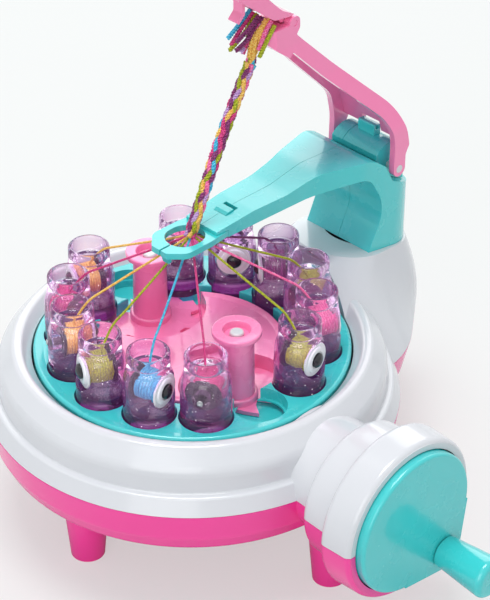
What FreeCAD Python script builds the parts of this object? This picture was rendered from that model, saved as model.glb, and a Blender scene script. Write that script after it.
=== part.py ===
import FreeCAD, Part
import math
import os

# Hand-cranked kumihimo braiding machine. Millimetres, +Z up. The shapes are drawn about the
# deck's axis with z = 0 at the deck's rim, +X towards the crank and +Y towards the arm's neck,
# and place_node moves them so that z = 0 is the table and the footprint is centred.

# ---------------------------------------------------------------- driving dimensions

# Clearances
running_gap = 0.05          # radial, shaft in its own bearing
moving_gap = 0.6            # between bodies that pass each other
wheel_gap = 0.4             # over and under a star wheel
parting_gap = 0.2           # line between two moulded halves

# Deck and its pockets
deck_rim_width = 4.35       # land outside the pockets
deck_floor_thickness = 2.8
pocket_count = 14
pocket_clearance = 0.35     # pod foot in its pocket
pocket_ledge_width = 1.2
pocket_depth = 6.0
inner_land_reach = 10.4     # deck's inner edge, in from the pockets' centres
first_empty_angle = -11.7   # slot that faces the right tower
wheel_space = 3.8           # room for the star wheels under the pods

# Pods and spools
pod_foot_radius = 12.9
pod_spacing = 1.08          # between neighbouring pods' feet
pod_foot_height = 5.0
pod_body_radius = 12.3
pod_neck_radius = 10.35
pod_height = 42.0
pod_shoulder_height = 32.0
pod_wall = 1.5
neck_wall = 2.0
window_radius = 9.4
spool_height = 22.4         # spool's axis above the pod's foot
spool_flange_radius = 8.7
spool_flange_thickness = 1.2
spool_core_radius = 3.8
spool_winding_radius = 7.2
spool_front = 9.3           # outer face of the flange in the window
spool_back = 5.6            # outer face of the flange inside the pod
spool_journal_radius = 1.6
spool_journal_length = 4.0
spool_boss_radius = 4.0

# Thread, braid and guide eye
thread_diameter = 1.3
braid_diameter = 6.8
gather_radius = 3.6         # ring on which the threads meet under the braid
gather_height = 60.4
eye_length = 19.8
eye_width = 18.0
eye_centre = -4.4

# Rotor and towers
rotor_margin = 0.55         # rotor's wall inside the pockets
rotor_wall_height = 9.0
rotor_base_thickness = 1.8
rotor_recess_radius = 28.0
tower_height = 31.7
tower_post_radius = 8.3
tower_flange_radius = 12.0
tower_flange_thickness = 2.8
tower_collar_radius = 10.4
tower_shaft_radius = 6.0
wheel_thickness = 2.0
wheel_root_radius = 20.3
wheel_tip_radius = 25.0
wheel_teeth = 9
horn_length = 18.0
spindle_radius = 3.5

# Gears under the deck
planet_module = 1.25
sun_teeth = 48
planet_teeth = 16
crown_module = 1.6
crown_teeth = 72
pinion_teeth = 12
gear_width = 3.5
tooth_backlash = 0.35

# Base
bezel_width = 24.0
seam_depth = 26.4
tray_depth = 60.0
table_depth = 91.0
wall = 2.4
bezel_gap = 1.0
bezel_drop = 1.5            # bezel's inner edge, below the deck's rim
bezel_crown = 4.0
post_radius = 9.0
post_head_height = 3.4      # above the deck's floor
foot_tip_radius = 8.4
foot_top_radius = 12.5
front_foot_inset = 31.0     # feet inside the base's edge
side_foot_inset = 7.0

# Crank housing, disc and knob
ring_radius = 42.0
ring_inner_radius = 34.5
collar_offset = 6.0         # steps of the housing, out from the base's edge
ring_offset = 24.0
face_offset = 42.0
neck_half_width = 28.0
recess_depth = 6.0
disc_radius = 36.0
disc_proud = 4.5
lobe_radius = 11.5
knob_y = 21.0
knob_drop = 28.0
knob_length = 30.0
knob_base_radius = 8.0
knob_end_radius = 10.6
knob_spigot_radius = 4.2
shaft_radius = 5.0

# Neck, arm and hinge cover
neck_offset = 16.6          # neck's axis, out from the base's edge
column_radius = 22.0
column_bottom = 12.9        # at the neck's axis
column_slope = 0.171        # fall of the column's foot towards the rear
column_hole_radius = 19.4
arm_bottom = 60.0
arm_front = 6.5
fork_bottom = 60.6
fork_thickness = 3.2
fork_lap = 7.5              # length of the fork's plate under the arm
tongue_half_width = 6.0
tongue_end = 29.0
tab_front = 18.7
tab_length = 5.4
tab_half_width = 4.0
cover_half_width = 15.3
cover_radius = 12.5
cover_front = 9.4           # flat front of the cover, before the pivot
cover_clip_top = 76.0

# Lever and braid clip
pivot_offset = 2.4          # hinge pin behind the neck's axis
pivot_z = 57.6
ear_radius = 4.2
lever_half_width = 22.6
lever_wall = 3.4
web_reach = 14.6            # web's lower edge, from the hinge pin
notch_reach = 20.2          # web's notch, which passes the cover's clip
notch_half_width = 6.3
pin_radius = 2.1
pin_seat = 8.0
clip_reach = 63.1           # clip's pin, forward of the hinge pin
clip_z = 157.2
clip_half_width = 8.0
nose_reach = 16.9           # head's front, forward of the clip's pin
nose_top = 157.0
clip_knuckle_radius = 3.2
clip_pin_radius = 1.5

# Fasteners
screw_inset = 14.0
screw_angles = (50.0, 130.0, 230.0, 310.0)
screw_radius = 1.6
screw_head_radius = 3.2
boss_radius = 4.6

# ---------------------------------------------------------------- derived sizes

pocket_radius = pod_foot_radius + pocket_clearance
pocket_ring_radius = (2 * pod_foot_radius + pod_spacing) / (2 * math.sin(math.pi / pocket_count))
deck_radius = pocket_ring_radius + pocket_radius + deck_rim_width
deck_inner_radius = pocket_ring_radius - inner_land_reach
rotor_radius = pocket_ring_radius - pocket_radius - rotor_margin
floor_level = -(pocket_depth + wheel_space)
deck_bottom = floor_level - deck_floor_thickness
slot_pitch = 360.0 / pocket_count
tower_reach = planet_module * (sun_teeth + planet_teeth) / 2
tower_angles = (first_empty_angle, first_empty_angle + 180.0)
wheel_bottom = floor_level + wheel_gap
wheel_top = wheel_bottom + wheel_thickness
crown_radius = crown_module * crown_teeth / 2
pinion_radius = crown_module * pinion_teeth / 2
crown_plane = -seam_depth + pinion_radius
well_radius = deck_radius + bezel_gap
base_radius = well_radius + bezel_width
bowl_bottom_radius = base_radius - 33.0
front_foot_reach = base_radius - front_foot_inset
side_foot_reach = base_radius - side_foot_inset
screw_reach = base_radius - screw_inset
collar_start = base_radius + collar_offset
ring_start = base_radius + ring_offset
ring_face = base_radius + face_offset
neck_y = base_radius + neck_offset
pivot_y = neck_y + pivot_offset
clip_y = pivot_y - clip_reach
nose_y = clip_y - nose_reach
ear_inside = lever_half_width - lever_wall
fork_top = fork_bottom + fork_thickness
disc_back = ring_face - recess_depth + moving_gap
disc_face = ring_face + disc_proud
knob_end = disc_face + knob_length
neck_rear = neck_y + column_radius + 9.0
footprint_x = (knob_end - base_radius) / 2
footprint_y = (neck_rear - base_radius) / 2

X = FreeCAD.Vector(1, 0, 0)
Y = FreeCAD.Vector(0, 1, 0)
Z = FreeCAD.Vector(0, 0, 1)
ORIGIN = FreeCAD.Vector(0, 0, 0)


# ---------------------------------------------------------------- small tools

def xz(x, z):
    return FreeCAD.Vector(x, 0, z)


def xy(x, y):
    return FreeCAD.Vector(x, y, 0)


def yz(y, z):
    return FreeCAD.Vector(0, y, z)


def rounded_edges(corners, plane, closed=True):
    """Edges through corners (u, v, corner radius), each corner rounded by its tangent arc."""
    points = [plane(corner[0], corner[1]) for corner in corners]
    count = len(points)
    edges = []
    ends = []
    for i, corner in enumerate(corners):
        here = points[i]
        on_end = not closed and i in (0, count - 1)
        if corner[2] == 0 or on_end:
            ends.append((here, here))
            continue
        back = (points[i - 1] - here).normalize()
        ahead = (points[(i + 1) % count] - here).normalize()
        half = back.getAngle(ahead) / 2
        reach = corner[2] / math.tan(half)
        bisector = (back + ahead).normalize()
        start = here + back * reach
        middle = here + bisector * (corner[2] / math.sin(half) - corner[2])
        end = here + ahead * reach
        edges.append((i, Part.Arc(start, middle, end).toShape()))
        ends.append((start, end))
    arcs = dict(edges)
    path = []
    for i in range(count):
        if i in arcs:
            path.append(arcs[i])
        if i == count - 1 and not closed:
            break
        start = ends[i][1]
        end = ends[(i + 1) % count][0]
        if start.distanceToPoint(end) > 1e-6:
            path.append(Part.makeLine(start, end))
    return path


def outline(corners, plane):
    return Part.Wire(rounded_edges(corners, plane))


def revolved(corners, centre=ORIGIN, axis=Z):
    """Solid of revolution; the corners are (radius, height along the axis, corner radius)."""
    solid = Part.Face(outline(corners, xz)).revolve(ORIGIN, Z, 360)
    turn = FreeCAD.Rotation(Z, axis)
    solid.Placement = FreeCAD.Placement(centre, turn)
    return solid


def extruded(corners, plane, start, end):
    """Prism of an outline, from start to end along the plane's normal."""
    normal = {xz: Y, xy: Z, yz: X}[plane]
    face = Part.Face(outline(corners, plane))
    face.translate(normal * start)
    return face.extrude(normal * (end - start))


def cylinder(radius, start, end, centre=ORIGIN, axis=Z):
    length = end - start
    return Part.makeCylinder(radius, length, centre + axis * start, axis)


def polar(radius, angle, height=0.0):
    turn = math.radians(angle)
    return FreeCAD.Vector(radius * math.cos(turn), radius * math.sin(turn), height)


def turned(shape, angle, centre=ORIGIN, axis=Z):
    copy = shape.copy()
    copy.rotate(centre, axis, angle)
    return copy


def moved(shape, offset):
    copy = shape.copy()
    copy.translate(offset)
    return copy


def fused(shapes):
    return shapes[0].multiFuse(shapes[1:]).removeSplitter()


def egg(rear_radius, front_y, front_radius, z, slope=0.0):
    """Outline round two circles on the YZ plane of symmetry: the neck's, and one nearer the deck.

    The outline's plane is at z on the neck's axis and falls towards the rear by slope."""
    distance = neck_y - front_y
    lean = math.asin((front_radius - rear_radius) / distance)
    side = (math.cos(lean), math.sin(lean))

    def place(x, y):
        return FreeCAD.Vector(x, y, z - slope * (y - neck_y))

    def touch(radius, centre, sign):
        return place(sign * radius * side[0], centre + radius * side[1])

    rear_right = touch(rear_radius, neck_y, 1)
    rear_left = touch(rear_radius, neck_y, -1)
    front_right = touch(front_radius, front_y, 1)
    front_left = touch(front_radius, front_y, -1)
    rear = Part.Arc(rear_right, place(0, neck_y + rear_radius), rear_left)
    front = Part.Arc(front_left, place(0, front_y - front_radius), front_right)
    return Part.Wire([
        rear.toShape(),
        Part.makeLine(rear_left, front_left),
        front.toShape(),
        Part.makeLine(front_right, rear_right),
    ])


# ---------------------------------------------------------------- base: housing and tray

def bowl_form(inset):
    """Round body of the base, from the bezel's crown to the tray's flat bottom."""
    return revolved([
        (0, -bezel_drop - inset, 0),
        (well_radius, -bezel_drop - inset, 0),
        (well_radius + 5.0, bezel_crown - inset, 3.0),
        (base_radius - 15.0, bezel_crown - 0.6 - inset, 3.0),
        (base_radius - 7.2 - inset, -6.0, 9.0),
        (base_radius - 6.7 - inset, -17.4, 1.0),
        (base_radius - 3.6 - inset, -18.0, 1.5),
        (base_radius - inset, -seam_depth, 0),
        (base_radius - inset, -seam_depth - 1.0, 2.0),
        (base_radius - 2.0 - inset, -41.0, 5.0),
        (base_radius - 6.0 - inset, -49.5, 5.0),
        (bowl_bottom_radius, -tray_depth + inset, 30.0),
        (0, -tray_depth + inset, 0),
    ])


def neck_form(inset):
    """White shoulder under the arm's column, flaring forward into the base."""
    wide_front = neck_y - 43.6
    sections = [
        egg(31.0 - inset, wide_front, 58.0 - inset, -seam_depth),
        egg(30.4 - inset, neck_y - 40.0, 48.0 - inset, -15.0, 0.3 * column_slope),
        egg(28.6 - inset, neck_y - 33.0, 37.0 - inset, -4.0, 0.7 * column_slope),
        egg(column_radius + 1.3 - inset, neck_y - 14.6, column_radius + 3.0 - inset,
            column_bottom - inset, column_slope),
    ]
    upper = Part.makeLoft(sections, True, False)
    lower = Part.makeLoft([
        egg(31.0 - inset, wide_front, 58.0 - inset, -seam_depth),
        egg(29.0 - inset, wide_front, 54.0 - inset, -44.0 + inset),
    ], True, True)
    return upper.fuse(lower)


def crank_form(inset):
    """Stepped round housing of the crank, about the crank's axis."""
    centre = FreeCAD.Vector(0, 0, -seam_depth)
    return revolved([
        (0, bowl_bottom_radius, 0),
        (neck_half_width - 1.5 - inset, bowl_bottom_radius, 0),
        (neck_half_width - inset, collar_start + inset, 0),
        (ring_inner_radius - inset, collar_start + inset, 3.0),
        (ring_inner_radius + 0.8 - inset, ring_start + inset, 0),
        (ring_radius - inset, ring_start + inset, 3.0),
        (ring_radius - 0.8 - inset, ring_face - inset, 3.0),
        (0, ring_face - inset, 0),
    ], centre, X)


def housing_form(inset):
    return fused([bowl_form(inset), neck_form(inset), crank_form(inset)])


def foot(x, y):
    return Part.makeCone(
        foot_top_radius, foot_tip_radius, table_depth - tray_depth + 14.0,
        FreeCAD.Vector(x, y, -tray_depth + 14.0), -Z)


def foot_places():
    return [
        (0, -front_foot_reach),
        (side_foot_reach, 0),
        (0, side_foot_reach),
        (-front_foot_reach, 0),
    ]


def screw_place(angle):
    return polar(screw_reach, angle)


def base_screws():
    """Screws that hold the tray to the housing, from below."""
    screws = []
    for angle in screw_angles:
        place = screw_place(angle)
        shank = cylinder(screw_radius, -seam_depth - 22.0, -seam_depth + 12.0, place)
        head = cylinder(screw_head_radius, -seam_depth - 24.0, -seam_depth - 22.0, place)
        screws.append(shank.fuse(head))
    return Part.makeCompound(screws)


def housing_halves():
    """White top housing and pink tray: one hollow form, parted at the crank's axis."""
    outer = housing_form(0)
    inner = housing_form(wall)
    crank_axis = FreeCAD.Vector(0, 0, -seam_depth)
    shell = outer.cut(inner)
    for angle in screw_angles:
        place = screw_place(angle)
        boss = cylinder(boss_radius, -tray_depth, 0, place).common(inner)
        shell = shell.fuse(boss).cut(cylinder(screw_radius, -tray_depth, -seam_depth + 12.0, place))
        shell = shell.cut(cylinder(screw_head_radius + 0.3, -tray_depth, -seam_depth - 22.0, place))
    recess = cylinder(disc_radius + moving_gap, ring_face - recess_depth, ring_face + 1, crank_axis, X)
    web = cylinder(ring_radius - wall, ring_face - recess_depth - wall, ring_face, crank_axis, X)
    bore = cylinder(shaft_radius + running_gap, bowl_bottom_radius, ring_face + 1, crank_axis, X)
    shell = shell.fuse(web).cut(recess).cut(bore)
    well = cylinder(well_radius, -seam_depth + 4.0, column_bottom + 10.0)
    lip = cylinder(well_radius + wall, deck_bottom, column_bottom).cut(well)
    shell = shell.fuse(lip.common(outer)).cut(well)
    room = 300.0
    above = Part.makeBox(room * 2, room * 2, room, FreeCAD.Vector(-room, -room, -seam_depth + parting_gap / 2))
    below = Part.makeBox(
        room * 2, room * 2, room, FreeCAD.Vector(-room, -room, -seam_depth - parting_gap / 2 - room))
    top = shell.common(above)
    tray = shell.common(below)
    for x, y in foot_places():
        tray = tray.fuse(foot(x, y).cut(inner))
    column_seat = cylinder(column_hole_radius, column_bottom - wall - 5.0, column_bottom + 5.0,
                           FreeCAD.Vector(0, neck_y, 0))
    return top.cut(column_seat), tray


# ---------------------------------------------------------------- centre post and gears

def gear_outline(teeth, module, backlash):
    """Spur gear outline: straight-sided stub teeth on the pitch circle."""
    pitch = module * teeth / 2
    root = pitch - 1.15 * module
    tip = pitch + 0.85 * module
    step = 360.0 / teeth
    half_pitch = math.degrees((math.pi * module / 4 - backlash / 2) / pitch)
    lean = math.degrees(0.36 * module / pitch)
    points = []
    for i in range(teeth):
        middle = i * step
        points.append(polar(root, middle - half_pitch - lean))
        points.append(polar(tip, middle - half_pitch + lean))
        points.append(polar(tip, middle + half_pitch - lean))
        points.append(polar(root, middle + half_pitch + lean))
    points.append(points[0])
    return Part.Face(Part.makePolygon(points))


def gear(teeth, module, bottom, top):
    face = gear_outline(teeth, module, tooth_backlash)
    face.translate(Z * bottom)
    return face.extrude(Z * (top - bottom))


gear_top = deck_bottom - moving_gap
gear_bottom = gear_top - gear_width


def centre_post():
    """Post on which the carousel turns, with the fixed sun gear moulded on its shoulder."""
    head = floor_level + post_head_height
    post = revolved([
        (0, -tray_depth + wall, 0),
        (post_radius + 9.0, -tray_depth + wall, 0),
        (post_radius + 9.0, -tray_depth + wall + 3.0, 1.0),
        (post_radius + 2.5, -tray_depth + wall + 6.0, 2.0),
        (post_radius + 2.5, gear_bottom, 0),
        (post_radius, gear_bottom, 0),
        (post_radius, head, 1.0),
        (0, head, 0),
    ])
    return post.fuse(gear(sun_teeth, planet_module, gear_bottom, gear_top))


def deck_gear():
    """Crown gear under the deck: radial teeth that face down into the crank's pinion."""
    depth_root = crown_plane + 1.15 * crown_module
    depth_tip = crown_plane - 0.85 * crown_module
    inner = crown_radius - gear_width / 2
    outer = crown_radius + gear_width / 2
    ring = cylinder(outer, depth_root, deck_bottom).cut(cylinder(inner, depth_root - 1, deck_bottom + 1))
    half = math.pi * crown_module / 4 - tooth_backlash / 2
    lean = 0.36 * crown_module
    tooth_profile = [
        FreeCAD.Vector(inner, -half - lean, depth_root + 0.2),
        FreeCAD.Vector(inner, -half + lean, depth_tip),
        FreeCAD.Vector(inner, half - lean, depth_tip),
        FreeCAD.Vector(inner, half + lean, depth_root + 0.2),
    ]
    wire = Part.makePolygon(tooth_profile + [tooth_profile[0]])
    tooth = Part.Face(wire).extrude(X * (gear_width - 0.2))
    step = 360.0 / crown_teeth
    teeth = [turned(tooth, i * step) for i in range(crown_teeth)]
    return ring.multiFuse(teeth)


# ---------------------------------------------------------------- carousel: deck and rotor

def slot_angle(index):
    return first_empty_angle + index * slot_pitch


def deck():
    """Turquoise deck: a land ring with a round pocket for every pod, over a floor."""
    body = revolved([
        (post_radius + running_gap, deck_bottom, 0),
        (deck_radius, deck_bottom, 0),
        (deck_radius, 0.6, 1.6),
        (deck_radius - 5.0, 0, 0),
        (deck_inner_radius, 0, 0.6),
        (deck_inner_radius, floor_level, 0),
        (rotor_radius + parting_gap, floor_level, 0),
        (rotor_radius + parting_gap, floor_level - rotor_base_thickness, 0),
        (post_radius + running_gap, floor_level - rotor_base_thickness, 0),
    ])
    for i in range(pocket_count):
        place = polar(pocket_ring_radius, slot_angle(i))
        body = body.cut(cylinder(pocket_radius, -pocket_depth, 1.0, place))
        body = body.cut(cylinder(pocket_radius - pocket_ledge_width, floor_level, 1.0, place))
    for angle in tower_angles:
        place = polar(tower_reach, angle)
        body = body.cut(cylinder(wheel_tip_radius + 1.0, floor_level, wheel_top + wheel_gap, place))
        body = body.cut(cylinder(tower_shaft_radius + 1.0, deck_bottom - 1, floor_level, place))
    return body


def rotor_plate():
    """Pink plate in the deck: raised in the middle, with a round recess about each tower."""
    top = floor_level + rotor_wall_height
    base = floor_level - rotor_base_thickness
    bore = post_radius + running_gap
    plate = revolved([
        (0, base, 0),
        (rotor_radius, base, 0),
        (rotor_radius, top, 1.0),
        (rotor_radius - 4.0, top - 1.0, 0),
        (0, top - 1.0, 0),
    ])
    plate = plate.cut(cylinder(bore, base - 1, floor_level + post_head_height + moving_gap))
    for angle in tower_angles:
        place = polar(tower_reach, angle)
        plate = plate.cut(cylinder(rotor_recess_radius, floor_level, top + 1, place))
        plate = plate.cut(cylinder(tower_shaft_radius + running_gap, base - 1, top, place))
    return plate


def star_wheel():
    """Toothed plate of a tower, drawn about its own axis, with its horn along +X."""
    pitch = 360.0 / wheel_teeth
    open_half = 1.5 * pitch
    points = [polar(tower_collar_radius, -open_half * 0.75)]
    points.append(polar(horn_length - 5.0, -pitch * 0.42))
    points.append(polar(horn_length, 4.0))
    points.append(polar(horn_length - 6.0, pitch * 0.45))
    points.append(polar(tower_collar_radius, open_half * 0.75))
    for i in range(1, wheel_teeth - 1):
        middle = (i + 0.5) * pitch
        points.append(polar(wheel_root_radius, middle - pitch * 0.36))
        points.append(polar(wheel_tip_radius, middle - pitch * 0.24))
        points.append(polar(wheel_tip_radius, middle + pitch * 0.24))
        points.append(polar(wheel_root_radius, middle + pitch * 0.36))
    points.append(points[0])
    face = Part.Face(Part.makePolygon(points))
    face.translate(Z * wheel_bottom)
    return face.extrude(Z * wheel_thickness)


def tower(angle):
    """Pink post with a flanged head on its star wheel, and a journal through the rotor."""
    flange_bottom = tower_height - tower_flange_thickness
    well = tower_height - 3.5
    post = revolved([
        (spindle_radius, floor_level - rotor_base_thickness - 1.0, 0),
        (tower_shaft_radius, floor_level - rotor_base_thickness - 1.0, 0),
        (tower_shaft_radius, wheel_bottom, 0),
        (tower_collar_radius, wheel_bottom, 0),
        (tower_collar_radius, wheel_top + 3.5, 1.0),
        (tower_post_radius + 0.6, wheel_top + 3.5, 0),
        (tower_post_radius, flange_bottom, 0),
        (tower_flange_radius, flange_bottom, 0.8),
        (tower_flange_radius, tower_height, 0.8),
        (6.8, tower_height, 0.5),
        (6.2, well, 0),
        (spindle_radius, well, 0),
    ])
    bore = cylinder(spindle_radius, deck_bottom, well)
    body = post.fuse(star_wheel()).removeSplitter().cut(bore)
    body = turned(body, angle)
    return moved(body, polar(tower_reach, angle))


def spindle(angle):
    """White spindle pressed into a tower, with the planet pinion that runs on the sun gear."""
    shaft = revolved([
        (0, gear_bottom, 0),
        (spindle_radius, gear_bottom, 0),
        (spindle_radius, tower_height - 1.2, 1.2),
        (0, tower_height - 1.2, 0),
    ])
    pinion = gear(planet_teeth, planet_module, gear_bottom, gear_top)
    body = shaft.fuse(pinion)
    mesh_turn = angle + 180.0 + 180.0 / planet_teeth
    sun_phase = (angle % (360.0 / sun_teeth)) * sun_teeth / planet_teeth
    body = turned(body, mesh_turn + sun_phase)
    return moved(body, polar(tower_reach, angle))


# ---------------------------------------------------------------- pods, spools and threads

def pod(window_angle):
    """Clear bobbin pod with a round window, drawn about its own axis on its foot's plane."""
    neck_top = pod_height
    inner = pod_body_radius - pod_wall
    bore = pod_neck_radius - neck_wall
    shell = revolved([
        (0, 0, 0),
        (pod_foot_radius, 0, 0.6),
        (pod_foot_radius, pod_foot_height, 1.2),
        (pod_body_radius, pod_foot_height + 1.0, 0),
        (pod_body_radius, pod_shoulder_height - 9.0, 8.0),
        (pod_neck_radius, pod_shoulder_height, 2.0),
        (pod_neck_radius, neck_top, neck_wall / 2 - 0.01),
        (bore, neck_top, neck_wall / 2 - 0.01),
        (bore, pod_shoulder_height, 0),
        (inner, pod_shoulder_height - 8.0, 0),
        (inner, pod_foot_height + 1.0, 0),
        (0, pod_foot_height + 1.0, 0),
    ])
    axis_point = FreeCAD.Vector(0, 0, spool_height)
    window = cylinder(window_radius, 2.0, pod_foot_radius + 5, axis_point, X)
    boss = cylinder(spool_boss_radius, spool_back + wheel_gap, inner + 0.6, axis_point, -X)
    journal = cylinder(spool_journal_radius + running_gap, 0, inner, axis_point, -X)
    body = shell.cut(window).fuse(boss).cut(journal)
    return turned(body, window_angle)


def spool(window_angle):
    """Reel on its pod's axle line: white flanges, black hub and the wound thread."""
    back = -spool_back
    front = spool_front
    reel = revolved([
        (0, back - spool_journal_length, 0),
        (spool_journal_radius, back - spool_journal_length, 0),
        (spool_journal_radius, back, 0),
        (spool_flange_radius, back, 0),
        (spool_flange_radius, back + spool_flange_thickness, 0),
        (spool_winding_radius, back + spool_flange_thickness, 0),
        (spool_winding_radius, front - spool_flange_thickness, 0),
        (spool_flange_radius, front - spool_flange_thickness, 0),
        (spool_flange_radius, front, 0),
        (spool_flange_radius - 2.6, front, 0),
        (spool_flange_radius - 2.6, front + 0.9, 0),
        (spool_core_radius, front + 0.9, 0),
        (spool_core_radius, front + 2.6, 0.8),
        (0, front + 2.6, 0),
    ], FreeCAD.Vector(0, 0, spool_height), X)
    return turned(reel, window_angle)


def thread(angle):
    """Thread from a spool, round the inner rim of its pod's neck, to the gather under the braid."""
    radius = thread_diameter / 2
    rim_reach = pocket_ring_radius - pod_neck_radius + neck_wall / 2
    rim_height = -pocket_depth + pod_height - neck_wall / 2
    bend = neck_wall / 2 + radius + 0.15
    low = (pocket_ring_radius - 2.0, -pocket_depth + spool_height + spool_flange_radius + 3.0)
    high = (gather_radius, gather_height)

    def touch(point, side):
        """Where the line from point touches the bend circle about the rim."""
        dx = rim_reach - point[0]
        dz = rim_height - point[1]
        distance = math.hypot(dx, dz)
        heading = math.atan2(dz, dx)
        swing = math.asin(bend / distance)
        run = distance * math.cos(swing)
        return (point[0] + run * math.cos(heading + side * swing),
                point[1] + run * math.sin(heading + side * swing))

    start = touch(low, -1)
    end = touch(high, 1)
    middle_heading = math.atan2(start[1] + end[1] - 2 * rim_height, start[0] + end[0] - 2 * rim_reach)
    middle = (rim_reach + bend * math.cos(middle_heading), rim_height + bend * math.sin(middle_heading))
    path = Part.Wire([
        Part.makeLine(xz(*low), xz(*start)),
        Part.Arc(xz(*start), xz(*middle), xz(*end)).toShape(),
        Part.makeLine(xz(*end), xz(*high)),
    ])
    heading = xz(start[0] - low[0], start[1] - low[1])
    ring = Part.Wire(Part.makeCircle(radius, xz(*low), heading))
    tube = path.makePipeShell([ring], True, False)
    return turned(tube, angle)


# Slot number and the way its window faces, for each loaded pod. The slots left out are empty.
window_angles = {
    1: 10.0, 2: 70.0, 3: 120.0, 4: 230.0, 5: -40.0, 6: 100.0,
    8: 250.0, 9: 190.0, 10: 60.0, 11: -113.0, 12: 13.0, 13: 123.0,
}


# ---------------------------------------------------------------- crank

crank_axis_point = FreeCAD.Vector(0, 0, -seam_depth)
knob_centre = FreeCAD.Vector(0, knob_y, -seam_depth - knob_drop)


def crank_disc():
    """Turquoise dial with a tangent lobe that carries the knob's spigot."""
    dial = revolved([
        (0, disc_back, 0),
        (disc_radius, disc_back, 0),
        (disc_radius, disc_face, 1.6),
        (0, disc_face, 0),
    ], crank_axis_point, X)
    reach = math.hypot(knob_y, knob_drop)
    lean = math.acos((disc_radius - lobe_radius) / reach)
    heading = math.atan2(-knob_drop, knob_y)

    def rim(centre, radius, angle):
        return FreeCAD.Vector(0, centre.y + radius * math.cos(angle), centre.z + radius * math.sin(angle))

    corners = [
        rim(crank_axis_point, disc_radius, heading + lean),
        rim(knob_centre, lobe_radius, heading + lean),
        rim(knob_centre, lobe_radius, heading - lean),
        rim(crank_axis_point, disc_radius, heading - lean),
    ]
    plate_back = ring_face + moving_gap
    bridge = Part.Face(Part.makePolygon(corners + [corners[0]]))
    bridge.translate(X * plate_back)
    bridge = bridge.extrude(X * (disc_face - plate_back))
    lobe = cylinder(lobe_radius, plate_back, disc_face, knob_centre, X)
    spigot = cylinder(knob_spigot_radius, disc_face, disc_face + knob_length * 0.6, knob_centre, X)
    socket = cylinder(shaft_radius, disc_back - 1, disc_back + 5.0, crank_axis_point, X)
    return fused([dial, bridge, lobe, spigot]).cut(socket)


def crank_knob():
    start = disc_face + 0.4
    end = knob_end
    bore = knob_spigot_radius + running_gap
    return revolved([
        (bore, start, 0),
        (knob_base_radius, start, 0.8),
        (knob_end_radius, end, 3.0),
        (0, end, 0),
        (0, disc_face + knob_length * 0.6 + 0.6, 0),
        (bore, disc_face + knob_length * 0.6 + 0.6, 0),
    ], knob_centre, X)


def crank_shaft():
    """Shaft from the dial to the pinion under the crown gear."""
    shaft = cylinder(shaft_radius, crown_radius - gear_width / 2 - 6.0, disc_back + 5.0, crank_axis_point, X)
    face = gear_outline(pinion_teeth, crown_module, tooth_backlash)
    pinion = face.extrude(Z * gear_width)
    pinion = turned(pinion, 180.0 / pinion_teeth)
    pinion.Placement = FreeCAD.Placement(
        FreeCAD.Vector(crown_radius - gear_width / 2, 0, -seam_depth),
        FreeCAD.Rotation(Z, X)).multiply(pinion.Placement)
    return shaft.fuse(pinion)


def crank_bearing():
    """Pillow block on the tray's floor that carries the shaft's inner end."""
    start = crown_radius + gear_width / 2 + 4.0
    floor = -tray_depth + wall
    block = extruded([
        (-16.0, floor, 0),
        (16.0, floor, 0),
        (16.0, floor + 4.0, 1.0),
        (shaft_radius + 4.0, floor + 6.0, 2.0),
        (shaft_radius + 4.0, -seam_depth + shaft_radius + 3.0, 5.0),
        (-shaft_radius - 4.0, -seam_depth + shaft_radius + 3.0, 5.0),
        (-shaft_radius - 4.0, floor + 6.0, 2.0),
        (-16.0, floor + 4.0, 1.0),
    ], yz, start, start + 7.0)
    block = block.common(bowl_form(wall))
    return block.cut(cylinder(shaft_radius + running_gap, 0, ring_face, crank_axis_point, X))


# ---------------------------------------------------------------- arm

def arm_side():
    """Side view of the arm and its column, in the YZ plane."""
    lap_end = arm_front + fork_lap
    foot_front = neck_y - 17.1
    rear = neck_y + column_radius + 2.0

    def foot_height(y):
        return column_bottom + parting_gap / 4 - column_slope * (y - neck_y)

    return [
        (arm_front, fork_top + parting_gap, 0),
        (lap_end, fork_top + parting_gap, 0),
        (lap_end, arm_bottom, 0),
        (neck_y - 39.6, arm_bottom + 0.8, 0),
        (neck_y - 18.6, arm_bottom + 0.8, 12.0),
        (neck_y - 8.8, 43.6, 20.0),
        (neck_y - 8.7, 33.3, 20.0),
        (foot_front, foot_height(foot_front), 0),
        (rear, foot_height(rear), 0),
        (rear, 39.4, 0),
        (neck_y + 15.9, 43.2, 12.0),
        (neck_y - 1.6, 52.0, 0),
        (neck_y - 7.2, 62.6, 1.0),
        (neck_y - 13.6, 67.6, 8.0),
        (neck_y - 19.6, 70.3, 10.0),
        (neck_y - 46.6, 71.6, 25.0),
        (neck_y - 67.6, 68.0, 30.0),
        (30.0, 68.0, 20.0),
        (arm_front, 65.6, 0),
    ]


def arm_plan():
    """Top view of the arm: narrow at the eye, as wide as its column at the neck."""
    wide = column_radius
    rear = neck_y + column_radius
    return [
        (-10.4, arm_front - 1.0, 0),
        (10.4, arm_front - 1.0, 0),
        (12.0, 40.0, 60.0),
        (13.5, neck_y - 51.6, 60.0),
        (wide - 0.5, neck_y - 23.0, 20.0),
        (wide, neck_y - 7.6, 8.0),
        (wide, rear, column_radius - 1.0),
        (-wide, rear, column_radius - 1.0),
        (-wide, neck_y - 7.6, 8.0),
        (-wide + 0.5, neck_y - 23.0, 20.0),
        (-13.5, neck_y - 51.6, 60.0),
        (-12.0, 40.0, 60.0),
    ]


def arm_form():
    side = extruded(arm_side(), yz, -column_radius - 3, column_radius + 3)
    plan = extruded(arm_plan(), xy, 0.0, 90.0)
    return side.common(plan)


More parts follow.
